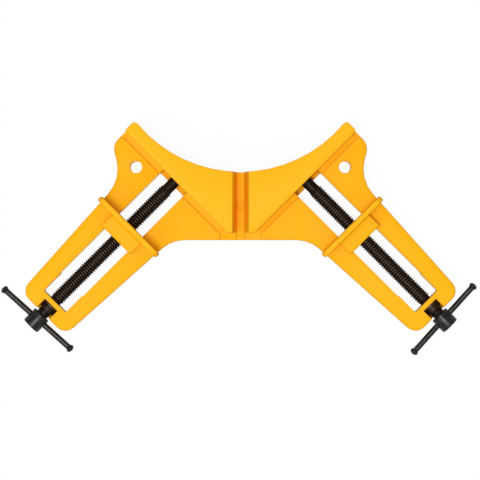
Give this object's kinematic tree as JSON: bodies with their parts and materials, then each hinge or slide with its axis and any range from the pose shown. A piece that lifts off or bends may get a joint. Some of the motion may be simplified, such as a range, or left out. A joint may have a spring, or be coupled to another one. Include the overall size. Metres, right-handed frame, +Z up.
{
  "type": "corner clamp",
  "caption": "Right-angle corner clamp: cast corner frame with two fences, and on each arm a jaw driven by a captive screw with a sliding tommy bar.",
  "frame": {"origin": "on the bench plane, under the middle of the clamp's box", "axes": "+X along the left arm's screw from its fence to its handle, +Y along the right arm's, +Z up from the bench"},
  "size_m": [0.2198, 0.2198, 0.035],
  "materials": {
    "powder_coat": "semi-gloss powder coat over die-cast aluminium",
    "screw_black": "black oxide, oiled",
    "handle_black": "black oxide, semi-gloss",
    "zinc": "zinc plated"
  },
  "bodies": {
    "frame": {"corner_frame": "powder_coat"},
    "left_jaw": {"left_jaw": "powder_coat", "left_keeper_plate": "zinc", "left_keeper_screw_1": "zinc", "left_keeper_screw_2": "zinc"},
    "left_screw": {"left_screw": "screw_black", "left_hub": "handle_black", "left_hub_pin": "zinc", "left_thrust_washer": "screw_black", "left_tip_clip": "zinc"},
    "left_bar": {"left_tommy_bar": "handle_black", "left_bar_ball": "handle_black"},
    "right_jaw": {"right_jaw": "powder_coat", "right_keeper_plate": "zinc", "right_keeper_screw_1": "zinc", "right_keeper_screw_2": "zinc"},
    "right_screw": {"right_screw": "screw_black", "right_hub": "handle_black", "right_hub_pin": "zinc", "right_thrust_washer": "screw_black", "right_tip_clip": "zinc"},
    "right_bar": {"right_tommy_bar": "handle_black", "right_bar_ball": "handle_black"}
  },
  "joints": [
    {"name": "left_screw_turn", "type": "hinge", "parent": "frame", "child": "left_screw", "pos_m": [0.10006, -0.06806, 0.009], "axis": [1, 0, 0], "range_deg": [-8370, 8370]},
    {"name": "left_jaw_slide", "type": "slide", "parent": "frame", "child": "left_jaw", "axis": [1, 0, 0], "range_m": [-0.03691, 0.03691]},
    {"name": "left_bar_slide", "type": "slide", "parent": "left_screw", "child": "left_bar", "axis": [-0.0523, 0.9986, 0], "range_m": [-0.018, 0.018]},
    {"name": "right_screw_turn", "type": "hinge", "parent": "frame", "child": "right_screw", "pos_m": [-0.06806, 0.10006, 0.009], "axis": [0, 1, 0], "range_deg": [-8370, 8370]},
    {"name": "right_jaw_slide", "type": "slide", "parent": "frame", "child": "right_jaw", "axis": [0, 1, 0], "range_m": [-0.03691, 0.03691]},
    {"name": "right_bar_slide", "type": "slide", "parent": "right_screw", "child": "right_bar", "axis": [0.9986, 0.0523, 0], "range_m": [-0.018, 0.018]}
  ],
  "couplings": [
    {"joint": "left_jaw_slide", "follows": "left_screw_turn", "m_per_rad": 0.00025266},
    {"joint": "right_jaw_slide", "follows": "right_screw_turn", "m_per_rad": 0.00025266}
  ]
}
